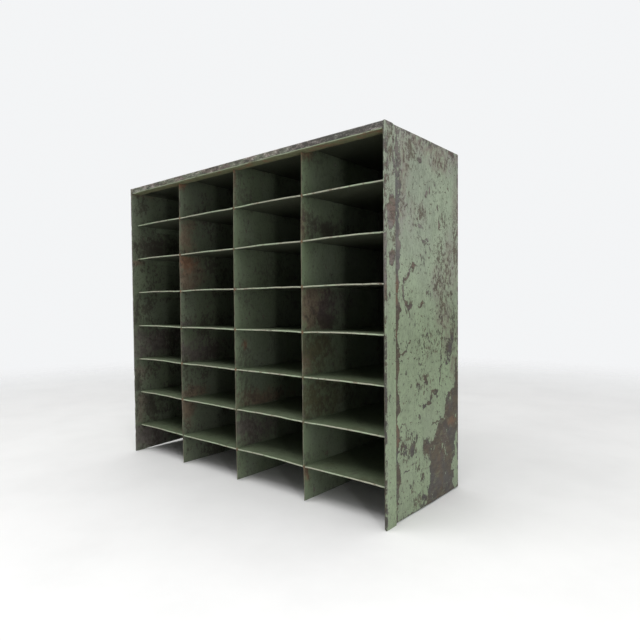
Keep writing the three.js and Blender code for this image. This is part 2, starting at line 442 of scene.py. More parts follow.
def divider(index, material):
    low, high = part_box(DIVIDERS[index])
    rail_back = FRONT + RAIL_RETURN + GAP
    rail_clear = HEIGHT - RAIL_HEIGHT - GAP
    plates = [z + HEM_RADIUS for z in HEM_Z]
    marks = [z + side * SLOT_HALF for z in plates for side in (-1, 1)] + [rail_clear]
    depths = stations(GRID_FRONT, GRID_REAR, CELL, (rail_back, GRID_MIDDLE))
    heights = stations(low.z, high.z, CELL, marks)
    grid = swept(flat_profile(DIVIDER_X[index], depths), heights, 2)
    _, y, z = cell_centres(grid)
    keep = ~((z > rail_clear) & (y < rail_back))
    for plate in plates:
        keep &= ~((np.abs(z - plate) < SLOT_HALF) & (y > GRID_MIDDLE))

    def bend(points):
        moved = points.copy()
        frontal = fade(-points[:, 1], -GRID_FRONT - 0.08, -GRID_FRONT)
        wave = DIVIDER_WAVE * waves(points * (0.2, 0.3, 1), 0.14, 500 + index)
        moved[:, 0] += grid_lean(points) + wave * frontal
        moved[:, 1] += DIVIDER_RIPPLE * (1 + waves(points * (0.2, 0.2, 1), 0.05, 600 + index)) * frontal
        return moved

    return sheet_piece(DIVIDERS[index], [(grid, keep)], GRID_SHEET, material, bend)


def shelf_angle(node, material):
    low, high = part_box(node)
    half = GRID_SHEET / 2
    side = 1 if low.x > 0 else -1
    wall, tip = (high.x - half, low.x) if side > 0 else (low.x + half, high.x)
    profile = folded([(wall, low.z), (wall, high.z - half), (tip, high.z - half)], BEND_RADIUS * 0.8, 0.005)
    grid = swept(profile, stations(low.y, high.y, CELL), 1)
    return sheet_piece(node, [(grid, None)], GRID_SHEET, material)


# ---------------- materials

def shade(red, green, blue, light=0.95):
    """The surface colour that shows as this 0 to 255 shade under a light of that strength."""
    linear = [((c / 255 + 0.055) / 1.055) ** 2.4 / light for c in (red, green, blue)]
    return (*linear, 1.0)


PAINT = shade(154, 167, 144)
PAINT_GREY = shade(146, 156, 138)
# The low colours are painted shade: the paint and its haze darker low down, where the light falls off towards
# the floor.
PAINT_SHADED_LOW = shade(131, 147, 117)
PAINT_GREY_SHADED_LOW = shade(126, 139, 113)
HAZE = shade(139, 137, 131)
HAZE_BROWN = shade(124, 115, 106)
HAZE_SHADED_LOW = shade(104, 98, 84)
GRIME = shade(59, 63, 50)
PAINT_INSIDE = (0.131, 0.164, 0.101, 1)
PAINT_INSIDE_PALE = (0.151, 0.181, 0.127, 1)
# Painted light: the lighter, greener paint along the dividers' front, where the light falls in.
PAINT_LIT_FRONT = (0.146, 0.194, 0.112, 1)
PAINT_SHELF = (0.116, 0.150, 0.087, 1)
# Painted shade: the dark colour of the shelves' undersides and of the top's faces inside the case, where
# shade falls.
PAINTED_UNDER_SHADE = (0.050, 0.056, 0.036, 1)
# Painted shade: the back sheet's inner face, nearly black where shade falls at the back of the compartments.
BACK_INSIDE_SHADE = (0.030, 0.033, 0.023, 1)
BARE_GREY = shade(128, 123, 119)
BARE_BROWN = shade(118, 104, 95)
# Bare steel low down: darker in painted shade where the light falls off towards the floor, and browner.
BARE_GREY_SHADED_LOW = shade(74, 71, 67)
BARE_BROWN_SHADED_LOW = shade(80, 71, 56)
BARE_DARK = shade(52, 48, 42)
BARE_OLIVE = shade(106, 110, 88)
RUST = shade(115, 88, 73)
RUST_LOW = shade(103, 79, 59)
RIM_DARK = shade(50, 47, 40)
SEAM_GREY = shade(122, 116, 110)
SEAM_BLUE = shade(92, 93, 92)
SPECK_BROWN = shade(76, 67, 50)
SPECK_DARK = shade(54, 54, 42)
SPECK_HIGH = shade(88, 81, 69)
SPECK_INSIDE = (0.045, 0.040, 0.028, 1)
# The pale lips are worn paint, partly a painted highlight where the rounded hems and bends catch the light.
WORN_LIP_AND_GLINT = (0.36, 0.37, 0.28, 1)
WORN_EDGE = (0.20, 0.22, 0.15, 1)
LIP_GREEN_AND_GLINT = (0.34, 0.41, 0.28, 1)
RAIL_GREY = (0.125, 0.118, 0.110, 1)
RAIL_GREEN = (0.150, 0.165, 0.120, 1)
RAIL_BROWN = (0.170, 0.138, 0.118, 1)
RAIL_DARK = (0.040, 0.038, 0.032, 1)
RAIL_PALE = (0.400, 0.380, 0.340, 1)
RETURN_OLIVE = (0.165, 0.170, 0.090, 1)
STAIN_BROWN = (0.170, 0.122, 0.085, 1)
STAIN_RUST = (0.230, 0.122, 0.072, 1)
STAIN_PURPLE = (0.105, 0.083, 0.080, 1)
STAIN_DARK = (0.045, 0.038, 0.030, 1)
STAIN_OLIVE = (0.075, 0.066, 0.034, 1)
STAIN_DULL = (0.160, 0.140, 0.105, 1)
FLOOR_PALE = (0.83, 0.83, 0.825, 1)
FLOOR_GREY = (0.79, 0.79, 0.785, 1)
BACKGROUND = (0.90, 0.91, 0.92, 1)

# For each divider: how dull its paint is, how far it is spotted, and how strong the painted light is along
# the front edge
DULLED = (0.26, 0.08, 0.02)
GRIMY = (0.75, 0.45, 0.40)
FRONT_LIT = (0.1, 0.4, 0.6)

BARE_FROM = 0.600  # the noise level from which the film is gone
SPECK_FROM = 0.625  # and from which it is chipped


def add_node(tree, kind, inputs=(), **settings):
    """A new node with its settings, and with each input set to a value or linked from a socket."""
    node = tree.nodes.new("ShaderNode" + kind)
    for key, value in settings.items():
        setattr(node, key, value)
    for key, value in dict(inputs).items():
        if isinstance(value, bpy.types.NodeSocket):
            tree.links.new(value, node.inputs[key])
        else:
            node.inputs[key].default_value = value
    return node


class Graph:
    """Makes the nodes of one material. Most of its methods return an output socket."""

    def __init__(self, name, seed=0.0):
        self.material = bpy.data.materials.new(name)
        self.material.use_nodes = True
        self.tree = self.material.node_tree
        self.tree.nodes.clear()
        self.seed = seed
        self.place = self.node("TexCoord").outputs["Object"]
        self.x, self.y, self.z = self.parts(self.place)
        facing = self.node("NewGeometry").outputs["Normal"]
        self.facing_x, self.facing_y, self.facing_z = self.parts(facing)
        self.fine = self.noise(115, 5, 0.74, (1, 1, 0.62), 30.0)
        broad = self.noise(26, 6, 0.66, (1, 1, 0.7), 31.0)
        self.coarse = self.add(self.times(broad, 0.45), self.times(self.fine, 0.55))

    def node(self, kind, inputs=(), **settings):
        return add_node(self.tree, kind, inputs, **settings)

    def parts(self, vector):
        """A vector's x, y and z."""
        return self.node("SeparateXYZ", {0: vector}).outputs

    def math(self, operation, a, b=0.0):
        return self.node("Math", {0: a, 1: b}, operation=operation).outputs[0]

    def vector_math(self, operation, *inputs):
        return self.node("VectorMath", dict(enumerate(inputs)), operation=operation).outputs

    def add(self, first, *others):
        for other in others:
            first = self.math("ADD", first, other)
        return first

    def times(self, first, *others):
        for other in others:
            first = self.math("MULTIPLY", first, other)
        return first

    def most(self, first, *others):
        for other in others:
            first = self.math("MAXIMUM", first, other)
        return first

    def rest(self, value):
        """1 less the value."""
        return self.math("SUBTRACT", 1.0, value)

    def ramp(self, value, low, high, top=1.0):
        """0 at low and the top value at high, smoothly; low may be the greater."""
        inputs = {"Value": value, "From Min": low, "From Max": high, "To Max": top}
        return self.node("MapRange", inputs, interpolation_type="SMOOTHSTEP").outputs[0]

    def band(self, value, low, high, soft):
        """1 between low and high, fading to 0 outside them."""
        rise = self.ramp(value, low - soft, low + soft)
        return self.times(rise, self.ramp(value, high + soft, high - soft))

    def noise(self, scale, detail=5, roughness=0.6, stretch=(1, 1, 1), shift=0.0):
        place = {"Vector": self.place, "Location": (self.seed + shift,) * 3, "Scale": stretch}
        moved = self.node("Mapping", place).outputs[0]
        inputs = {"Vector": moved, "Scale": scale, "Detail": detail, "Roughness": roughness}
        return self.node("TexNoise", inputs).outputs[0]

    def warped(self, *shakes):
        """The place, moved about by noise of these scales and amounts, so that outlines come out ragged."""
        place = self.place
        for scale, amount in shakes:
            inputs = {"Vector": self.place, "Scale": scale, "Detail": 3}
            noise = self.node("TexNoise", inputs).outputs["Color"]
            offset = self.vector_math("MULTIPLY_ADD", noise, (amount * 2,) * 3, (-amount,) * 3)[0]
            place = self.vector_math("ADD", place, offset)[0]
        return place

    def curve(self, value, points):
        """A line through points, as a function of the value. Points and results lie between 0 and 1."""
        node = self.node("FloatCurve", {"Value": value})
        line = node.mapping.curves[0]
        for x, y in points[1:-1]:
            line.points.new(x, y)
        line.points[0].location = points[0]
        line.points[-1].location = points[-1]
        for point in line.points:
            point.handle_type = "VECTOR"
        node.mapping.update()
        return node.outputs[0]

    def spot(self, centre, radii, place=None):
        """1 at the centre, 0 at the radii and less beyond. A radius of None leaves that axis out."""
        scale = [0 if radius is None else 1 / radius for radius in radii]
        shift = [-c * s for c, s in zip(centre, scale)]
        moved = self.vector_math("MULTIPLY_ADD", place or self.place, scale, shift)[0]
        return self.rest(self.vector_math("LENGTH", moved)["Value"])

    def mix(self, factor, a, b):
        return self.node("Mix", {0: factor, 6: a, 7: b}, data_type="RGBA").outputs[2]

    def finish(self, colour, roughness, metallic, height, depth, clear=None):
        """The finished material. Where clear is given, it shows nothing where that is 1."""
        bump = self.node("Bump", {"Strength": 0.8, "Distance": depth, "Height": height}).outputs[0]
        inputs = {"Base Color": colour, "Roughness": roughness, "Metallic": metallic, "Normal": bump}
        surface = self.node("BsdfPrincipled", inputs).outputs[0]
        if clear is not None:
            nothing = self.node("BsdfTransparent").outputs[0]
            surface = self.node("MixShader", {0: clear, 1: surface, 2: nothing}).outputs[0]
        self.node("OutputMaterial", {"Surface": surface})
        return self.material


def metres(values):
    """Millimetres turned into metres."""
    return tuple(value / 1000 for value in values)


def in_metres(*rows):
    """Wear rows with their first four numbers turned from millimetres into metres."""
    return [(*metres(row[:4]), row[4]) for row in rows]


# The lists of wear are in millimetres. The first are on the right side: depth behind the front, height,
# half width, half height and strength.
CHIPS = in_metres(
    (183, 746, 8, 12, 0.17), (200, 758, 5, 14, 0.15), (136, 672, 14, 7, 0.16), (152, 668, 16, 6, 0.15),
    (166, 662, 16, 4, 0.12), (155, 822, 12, 12, 0.15), (172, 630, 10, 11, 0.16), (184, 637, 7, 6, 0.16),
    (174, 607, 6, 6, 0.14), (246, 722, 4, 18, 0.15), (247, 684, 8, 17, 0.16), (300, 780, 18, 10, 0.12),
    (187, 521, 10, 7, 0.16), (196, 510, 10, 7, 0.12), (162, 490, 5, 12, 0.15), (154, 482, 8, 6, 0.14),
    (296, 376, 26, 26, 0.17), (286, 344, 22, 20, 0.15), (312, 400, 14, 20, 0.14), (185, 306, 15, 14, 0.17),
    (148, 292, 13, 14, 0.15), (186, 278, 9, 7, 0.14), (232, 266, 14, 8, 0.16), (196, 250, 18, 8, 0.16),
    (177, 241, 14, 7, 0.16), (75, 166, 22, 14, 0.17), (88, 158, 16, 16, 0.15), (118, 156, 14, 21, 0.15),
    (128, 176, 8, 10, 0.13), (110, 190, 12, 8, 0.12), (180, 150, 22, 13, 0.14), (200, 138, 26, 13, 0.17),
    (146, 222, 7, 8, 0.13), (54, 257, 13, 14, 0.2), (52, 384, 14, 20, 0.17), (238, 214, 5, 10, 0.12),
    (104, 265, 7, 12, 0.13), (155, 345, 8, 6, 0.13), (105, 402, 8, 8, 0.12), (186, 416, 10, 7, 0.12),
    (232, 402, 8, 8, 0.12), (92, 338, 8, 10, 0.12), (345, 310, 18, 50, 0.15), (106, 70, 12, 8, 0.1),
    (140, 100, 15, 12, 0.09), (160, 75, 15, 15, 0.11), (130, 30, 20, 16, 0.12), (165, 20, 18, 14, 0.12),
)
MOTTLED = in_metres(
    (110, 835, 90, 75, 0.13), (260, 836, 110, 40, 0.11), (250, 800, 120, 50, 0.06), (155, 700, 42, 42, 0.16),
    (68, 715, 24, 70, 0.13), (110, 700, 36, 80, 0.07), (250, 610, 42, 80, 0.15), (240, 540, 52, 70, 0.16),
    (262, 480, 56, 66, 0.16), (290, 560, 60, 130, 0.13), (335, 640, 34, 150, 0.15),
    (320, 420, 44, 110, 0.15), (270, 690, 40, 50, 0.12), (200, 400, 140, 120, 0.09),
    (100, 490, 20, 34, 0.16), (110, 570, 30, 16, 0.16), (100, 160, 60, 60, 0.15), (140, 90, 70, 100, 0.08),
    (190, 130, 50, 50, 0.15), (150, 22, 70, 40, 0.15), (180, 300, 90, 90, 0.1),
)
HAZY = in_metres(
    (75, 820, 48, 110, 0.9), (70, 710, 30, 90, 0.9), (255, 836, 110, 40, 0.9), (110, 690, 26, 60, 0.5),
    (155, 700, 36, 36, 0.6), (310, 590, 60, 130, 0.75), (340, 720, 30, 170, 0.6), (240, 540, 50, 70, 0.85),
    (270, 460, 60, 60, 0.85), (300, 400, 60, 70, 0.6), (330, 330, 40, 70, 0.75), (150, 850, 80, 30, 0.7),
)
# Scratches: points as depth and height, half width, strength
SCRATCHES = [
    ([(126, 576), (108, 570), (96, 556), (87, 545), (83, 525), (81, 503),
      (86, 492), (97, 484), (107, 486)], 6.5, 0.15),
    ([(212, 196), (228, 188), (250, 190), (284, 196)], 5, 0.17),
    ([(55, 378), (72, 374), (92, 383)], 4, 0.14),
    ([(172, 236), (196, 250), (218, 268), (250, 276)], 6, 0.17),
    ([(72, 107), (94, 108)], 4, 0.17),
    ([(257, 290), (258, 450)], 4, 0.13),
    ([(140, 650), (160, 640), (205, 610)], 3.2, 0.12),
]
RING = metres((76, 196, 16.5, 18.5))  # a scratched ring: depth, height, half width and half height
# Where the bare corner begins: height, and depth behind the front there
BARE_EDGE = [metres(point) for point in (
    (0, 168), (20, 184), (60, 196), (100, 202), (125, 196), (135, 172), (142, 176), (155, 215), (175, 234),
    (183, 238), (190, 270), (220, 280), (250, 292), (262, 318), (285, 340), (320, 352), (350, 400),
    (1000, 400),
)]
GREEN_ISLANDS = in_metres((326, 72, 24, 26, 1), (342, 100, 12, 60, 1), (336, 30, 18, 36, 1))
RUSTED = in_metres(
    (315, 184, 30, 18, 0.9), (272, 130, 34, 56, 0.25), (250, 100, 24, 70, 0.15), (53, 520, 10, 44, 0.8),
    (48, 418, 10, 16, 0.8), (50, 200, 10, 44, 0.7),
)
BAR_CHIPS = in_metres(
    (25, 688, 22, 46, 0.2), (26, 590, 17, 21, 0.2), (20, 722, 14, 12, 0.12), (6, 800, 10, 60, 0.14),
    (36, 810, 8, 50, 0.12),
)
BAR_MOTTLED = in_metres(
    (20, 830, 60, 80, 0.16), (12, 740, 30, 50, 0.12), (30, 635, 30, 34, 0.12), (20, 500, 40, 80, 0.03),
)

ROWS = [(low + 0.003, high - 0.003) for low, high in zip([0, *HEM_Z], [*HEM_Z, HEIGHT])][::-1]

# Stains inside: row from the top, depth behind the front, height in the row from 0 to 1, half width,
# half height, colour
STAINS = {
    "left": [
        (1, 30, 0.94, 60, 20, STAIN_BROWN), (2, 75, 0.35, 90, 60, STAIN_DARK),
        (3, 20, 0.94, 30, 12, STAIN_BROWN), (4, 12, 0.60, 16, 70, STAIN_DARK),
        (5, 90, 0.45, 160, 80, STAIN_PURPLE), (6, 10, 0.30, 12, 80, STAIN_DARK),
        (6, 30, 0.60, 40, 30, STAIN_DULL), (7, 60, 0.55, 70, 45, STAIN_DARK),
        (7, 20, 0.50, 26, 70, STAIN_DULL), (8, 60, 0.50, 160, 90, STAIN_PURPLE),
    ],
    "divider_1": [
        (1, 20, 0.90, 20, 20, STAIN_RUST), (2, 35, 0.60, 45, 90, STAIN_BROWN),
        (3, 45, 0.55, 60, 90, STAIN_BROWN), (3, 30, 0.85, 40, 30, STAIN_RUST),
        (4, 35, 0.05, 40, 22, STAIN_PURPLE), (5, 70, 0.25, 130, 50, STAIN_PURPLE),
        (6, 60, 0.12, 70, 22, STAIN_BROWN), (7, 30, 0.70, 34, 60, STAIN_BROWN),
    ],
    "divider_2": [
        (1, 16, 0.60, 10, 60, STAIN_BROWN), (6, 110, 0.12, 130, 30, STAIN_BROWN),
        (7, 70, 0.45, 100, 70, STAIN_PURPLE), (5, 52, 0.66, 10, 16, STAIN_RUST),
    ],
    "divider_3": [
        (1, 28, 0.97, 28, 20, STAIN_RUST), (2, 20, 0.30, 16, 50, STAIN_BROWN),
        (2, 100, 0.30, 100, 40, STAIN_DARK), (4, 50, 0.55, 90, 100, STAIN_BROWN),
        (4, 110, 0.25, 60, 30, STAIN_DARK), (4, 130, 0.60, 70, 40, STAIN_PURPLE),
        (5, 55, 0.50, 110, 80, STAIN_OLIVE), (5, 20, 0.15, 40, 30, STAIN_BROWN),
        (6, 60, 0.50, 160, 90, STAIN_OLIVE), (8, 24, 0.85, 12, 30, STAIN_RUST),
    ],
}


def strongest(g, spots, place=None, soft=0.9):
    """The strongest of several spots on a sheet that faces sideways."""
    found = []
    for depth, height, half_width, half_height, strength in spots:
        spot = g.spot((0, FRONT + depth, height), (None, half_width, half_height), place)
        found.append(g.ramp(spot, 0.0, soft, strength))
    return g.most(*found)


def scratch(g, points, half_width, place):
    """1 along a line through points on a side panel, 0 beyond its half width, both in millimetres."""
    points = [metres(point) for point in points]
    half_width /= 1000
    found = []
    for (d0, z0), (d1, z1) in zip(points, points[1:]):
        length = math.hypot(d1 - d0, z1 - z0)
        along = Vector((0, d1 - d0, z1 - z0)) / length
        across = Vector((0, z1 - z0, d0 - d1)) / length
        moved = g.vector_math("ADD", place, (0, -FRONT - (d0 + d1) / 2, -(z0 + z1) / 2))[0]
        run = g.vector_math("DOT_PRODUCT", moved, along)["Value"]
        off = g.vector_math("DOT_PRODUCT", moved, across)["Value"]
        beyond = g.most(g.add(g.math("ABSOLUTE", run), -length / 2), 0.0)
        gap = g.math("SQRT", g.add(g.times(beyond, beyond), g.times(off, off)))
        found.append(g.ramp(gap, half_width, half_width * 0.3))
    return g.most(*found)


def bare_steel(g, high=1.0):
    """The colour where the paint is gone: grey and brown steel, streaked and pitted, paler high up and darker
    low down in painted shade.
    """
    broad = g.ramp(g.noise(20, 6, 0.7, (1, 1, 0.6), 1.0), 0.44, 0.56)
    streaks = g.ramp(g.noise(90, 6, 0.8, (1, 0.35, 1), 3.0), 0.45, 0.57)
    rust = g.ramp(g.noise(40, 6, 0.7, (1, 1, 0.6), 4.0), 0.54, 0.62)
    residue = g.ramp(g.noise(85, 6, 0.75, (1, 0.5, 1), 43.0), 0.55, 0.61)
    pale = g.mix(broad, BARE_BROWN, BARE_GREY)
    dark = g.mix(broad, BARE_BROWN_SHADED_LOW, BARE_GREY_SHADED_LOW)
    colour = g.mix(high, dark, pale)
    colour = g.mix(g.times(rust, 0.20), colour, RUST_LOW)
    colour = g.mix(g.times(streaks, 0.60), colour, BARE_DARK)
    return g.mix(g.times(residue, 0.50), colour, BARE_OLIVE)


def paint_film(g, base, second):
    """The paint's own colour, with broad and fine differences of shade."""
    broad = g.ramp(g.noise(7, 5, 0.65, (1, 1, 0.6), 5.0), 0.36, 0.64)
    cloudy = g.ramp(g.noise(38, 6, 0.7, (1, 1, 0.45), 6.0), 0.45, 0.70)
    fine = g.ramp(g.noise(210, 4, 0.75, (1, 1, 0.5), 7.0), 0.42, 0.70)
    colour = g.mix(broad, base, second)
    colour = g.mix(g.times(cloudy, 0.22), colour, GRIME)
    return g.mix(g.times(fine, 0.36), colour, GRIME)


def worn(g, film, bare, bare_level, speck_level, speck_colour, dashed=1.0):
    """The finished material, with no film where the bare level is high and chips where the speck level is."""
    gone = g.ramp(bare_level, BARE_FROM, BARE_FROM + 0.014)
    rim = g.ramp(bare_level, BARE_FROM - 0.020, BARE_FROM)
    rim = g.times(rim, g.ramp(bare_level, BARE_FROM + 0.045, BARE_FROM + 0.010))
    chipped = g.ramp(speck_level, SPECK_FROM, SPECK_FROM + 0.022)
    dashes = g.ramp(g.noise(140, 3, 0.6, (1, 0.6, 1), 36.0), 0.625, 0.655, dashed)
    specks = g.most(chipped, dashes)
    colour = g.mix(g.times(specks, 0.85), film, speck_colour)
    colour = g.mix(gone, colour, bare)
    colour = g.mix(g.times(rim, 0.50), colour, RIM_DARK)
    roughness = g.add(g.times(gone, 0.08), g.times(g.fine, 0.20), 0.40)
    height = g.add(g.times(g.most(gone, g.times(specks, 0.7)), -1.0), g.times(g.fine, 0.6))
    return g.finish(colour, roughness, g.times(gone, 0.15), height, 0.0004)


def speck_variation(g):
    """0 where specks take their first colour and 1 where they take their second."""
    return g.ramp(g.noise(45, 3, 0.6, shift=35.0), 0.42, 0.58)


def right_bare_level(g, ragged, ry, rz):
    """How far the film is gone on the right side: its edges, the seam, the low rear corner and the marks."""
    seam_edge = g.ramp(g.z, 0.38, 0.50, 0.008)
    seam = g.ramp(g.math("SUBTRACT", ry, seam_edge), FRONT + 0.060, FRONT + 0.052)
    seam = g.times(seam, g.add(0.20, g.ramp(g.z, 0.56, 0.72, -0.08)))
    top_edge = g.ramp(rz, HEIGHT - 0.016, HEIGHT - 0.004, 0.10)
    rear_edge = g.ramp(ry, REAR - 0.012, REAR - 0.001, 0.14)
    foot_edge = g.ramp(rz, 0.014, 0.002, 0.08)
    chips = g.times(strongest(g, CHIPS, ragged, 0.35), 0.88)
    corner = g.ramp(g.math("SUBTRACT", ry, g.curve(rz, BARE_EDGE)), FRONT - 0.003, FRONT + 0.003, 0.19)
    corner = g.times(corner, g.rest(strongest(g, GREEN_ISLANDS, ragged, 0.4)))
    ring = g.spot((0, FRONT + RING[0], RING[1]), (None, *RING[2:]), ragged)
    marks = [g.times(g.band(ring, -0.07, 0.07, 0.05), 0.15)]
    marks += [g.times(scratch(g, points, width, ragged), strength) for points, width, strength in SCRATCHES]
    return g.add(g.coarse, g.most(seam, top_edge, rear_edge, foot_edge, chips, corner, *marks))


def side_paint_right():
    g = Graph("side_paint_right", 3.0)
    ragged = g.warped((24, 0.018), (95, 0.009))
    _, ry, rz = g.parts(ragged)
    # high is 1 up high and 0 low down, where the colours turn to their painted-shade copies.
    high = g.ramp(g.z, 0.36, 0.66)
    # where the film is chipped or hazy
    patchy = g.times(g.add(g.noise(12, 3, 0.6, shift=33.0), -0.5), 0.16)
    specks = g.add(g.fine, strongest(g, MOTTLED, ragged), patchy)
    hazy = g.most(strongest(g, HAZY, ragged, 0.7), g.ramp(rz, HEIGHT - 0.050, HEIGHT - 0.015))
    hazy = g.times(hazy, g.ramp(g.fine, 0.36, 0.54))
    clouds = g.ramp(g.noise(20, 5, 0.65, (1, 1, 0.5), 47.0), 0.44, 0.56)
    film = paint_film(g, g.mix(high, PAINT_SHADED_LOW, PAINT), g.mix(high, PAINT_GREY_SHADED_LOW, PAINT_GREY))
    film = g.mix(hazy, film, g.mix(high, HAZE_SHADED_LOW, g.mix(clouds, HAZE, HAZE_BROWN)))
    film = g.mix(g.ramp(g.facing_x, -0.6, -0.3), PAINT_INSIDE, film)
    # the steel under it
    rust = g.times(strongest(g, RUSTED, ragged, 0.6), g.ramp(g.noise(70, 5, 0.7, shift=34.0), 0.38, 0.52))
    bare = g.mix(rust, bare_steel(g, high), g.mix(high, RUST_LOW, RUST))
    upper_seam = g.times(g.ramp(ry, FRONT + 0.078, FRONT + 0.064), g.ramp(rz, 0.52, 0.60))
    bare = g.mix(g.times(upper_seam, 0.7), bare, g.mix(clouds, SEAM_GREY, SEAM_BLUE))
    speck_colour = g.mix(high, g.mix(speck_variation(g), SPECK_BROWN, SPECK_DARK), SPECK_HIGH)
    return worn(g, film, bare, right_bare_level(g, ragged, ry, rz), specks, speck_colour)


def side_paint_left():
    g = Graph("side_paint_left", 5.0)
    _, ry, rz = g.parts(g.warped((24, 0.018), (95, 0.007)))
    outside = g.ramp(g.facing_x, 0.6, 0.3)
    top_edge = g.ramp(rz, HEIGHT - 0.024, HEIGHT - 0.006, 0.15)
    rear_edge = g.ramp(ry, REAR - 0.014, REAR - 0.002, 0.13)
    seam = g.times(g.ramp(ry, FRONT + 0.060, FRONT + 0.052), 0.18)
    top_zone = g.ramp(rz, 0.66, HEIGHT, 0.08)
    low_rear = g.times(g.ramp(ry, 0.02, REAR, 0.17), g.ramp(rz, 0.20, 0.06))
    patches = g.ramp(g.noise(10, 5, 0.65, (1, 1, 0.7), 45.0), 0.60, 0.68, 0.16)
    film = paint_film(g, PAINT, PAINT_GREY)
    dulled = g.mix(0.15, paint_film(g, PAINT_INSIDE, PAINT_INSIDE_PALE), STAIN_DARK)
    inner = stained(g, dulled, STAINS["left"])
    grimy = g.ramp(g.add(g.fine, g.times(g.noise(14, 4, 0.6, shift=37.0), 0.8)), 0.92, 1.00, 0.75)
    inner = g.mix(grimy, inner, STAIN_DARK)
    bare_level = g.add(g.coarse, g.times(g.most(top_edge, rear_edge, seam, low_rear, patches), outside))
    mottled = g.ramp(g.noise(7, 4, 0.6, shift=46.0), 0.50, 0.66, 0.15)
    specks = g.add(g.fine, g.times(g.most(top_zone, mottled), outside))
    return worn(g, g.mix(outside, inner, film), bare_steel(g), bare_level, specks, SPECK_DARK, 0.6)


def bar_paint():
    g = Graph("bar_paint", 8.0)
    ragged = g.warped((24, 0.010), (95, 0.006))
    _, _, rz = g.parts(ragged)
    # high is 1 up high and 0 low down, where the colours turn to their painted-shade copies.
    high = g.ramp(g.z, 0.36, 0.66)
    front_edge = g.ramp(g.y, FRONT + 0.0070, FRONT + 0.0030, 0.12)
    top_edge = g.ramp(rz, HEIGHT - 0.012, HEIGHT - 0.003, 0.14)
    bare_level = g.add(g.coarse, g.most(front_edge, top_edge, strongest(g, BAR_CHIPS, ragged, 0.35)))
    specks = g.add(g.fine, strongest(g, BAR_MOTTLED, ragged))
    film = paint_film(g, g.mix(high, PAINT_SHADED_LOW, PAINT), g.mix(high, PAINT_GREY_SHADED_LOW, PAINT_GREY))
    grey = g.most(g.ramp(g.y, FRONT + 0.012, FRONT + 0.004, 0.35), g.ramp(rz, 0.68, 0.80, 0.40))
    film = g.mix(g.times(grey, g.ramp(g.fine, 0.36, 0.54)), film, HAZE)
    speck_colour = g.mix(speck_variation(g), SPECK_BROWN, SPECK_HIGH)
    return worn(g, film, bare_steel(g, high), bare_level, specks, speck_colour)


def rail_steel(g, streaks, rusty):
    """The front fold's face: bare, streaked from dark to pale, rusty at the left and grey at the right."""
    left_end = g.ramp(g.x, -0.22, -0.40)
    right_end = g.ramp(g.x, 0.10, 0.32)
    patches = g.noise(24, 5, 0.65, (0.6, 1, 1), 39.0)
    dark = g.ramp(g.add(streaks, g.times(right_end, 0.055)), 0.520, 0.560)
    pale = g.ramp(g.add(streaks, g.times(left_end, -0.05), g.times(right_end, 0.025)), 0.440, 0.400)
    colour = g.mix(g.ramp(patches, 0.44, 0.56), RAIL_GREEN, RAIL_BROWN)
    colour = g.mix(g.times(right_end, 0.7), colour, RAIL_GREY)
    colour = g.mix(g.times(dark, 0.85), colour, RAIL_DARK)
    colour = g.mix(g.times(pale, 0.8), colour, RAIL_PALE)
    return g.mix(g.times(rusty, left_end, 0.6), colour, RUST)


def top_surface(g):
    """The top from above: paint, worn through in patches."""
    worn_through = g.ramp(g.add(g.coarse, g.times(g.noise(5, 5, 0.6, shift=40.0), 0.5)), 0.76, 0.80)
    return g.mix(worn_through, paint_film(g, PAINT, PAINT_GREY), bare_steel(g, 0.7))


def top_paint():
    g = Graph("top_paint", 15.0)
    streaks = g.noise(150, 6, 0.8, (0.42, 1, 1), 17.0)
    rusty = g.ramp(g.noise(20, 5, 0.7, shift=19.0), 0.52, 0.62)
    rail = g.times(g.ramp(g.facing_y, -0.2, -0.5), g.ramp(g.y, FRONT + 0.005, FRONT + 0.004))
    face = rail_steel(g, streaks, rusty)
    # The top's faces inside the case take the painted shade; the front fold keeps its worn steel face.
    colour = g.mix(rail, PAINTED_UNDER_SHADE, face)
    above = g.mix(g.ramp(g.y, FRONT + 0.004, FRONT + 0.012), face, top_surface(g))
    rear = g.times(g.ramp(g.facing_y, 0.3, 0.7), g.ramp(g.y, 0.0, 0.1))
    colour = g.mix(g.most(g.ramp(g.facing_z, 0.2, 0.6), rear), colour, above)
    # the underside of the fold's return, and the pale lip where it turns down to it, worn pale and partly a
    # painted highlight on the bend
    olive = g.mix(g.times(rusty, 0.8), RETURN_OLIVE, STAIN_RUST)
    olive = g.mix(g.times(g.ramp(streaks, 0.50, 0.58), 0.5), olive, STAIN_DARK)
    underside = g.times(g.ramp(g.facing_z, -0.35, -0.75), g.ramp(g.z, HEIGHT - 0.012, HEIGHT - 0.014))
    colour = g.mix(underside, colour, olive)
    lip = g.times(g.ramp(g.facing_y, -0.20, -0.50), g.ramp(g.facing_z, -0.20, -0.50))
    lip = g.times(lip, g.ramp(g.noise(50, 4, 0.7, (0.6, 1, 1), 16.0), 0.36, 0.44))
    colour = g.mix(g.times(lip, 0.95), colour, LIP_GREEN_AND_GLINT)
    roughness = g.add(g.times(g.fine, 0.25), 0.42)
    height = g.add(g.times(streaks, 1.2), g.times(g.fine, 0.5))
    return g.finish(colour, roughness, 0.0, height, 0.0005)


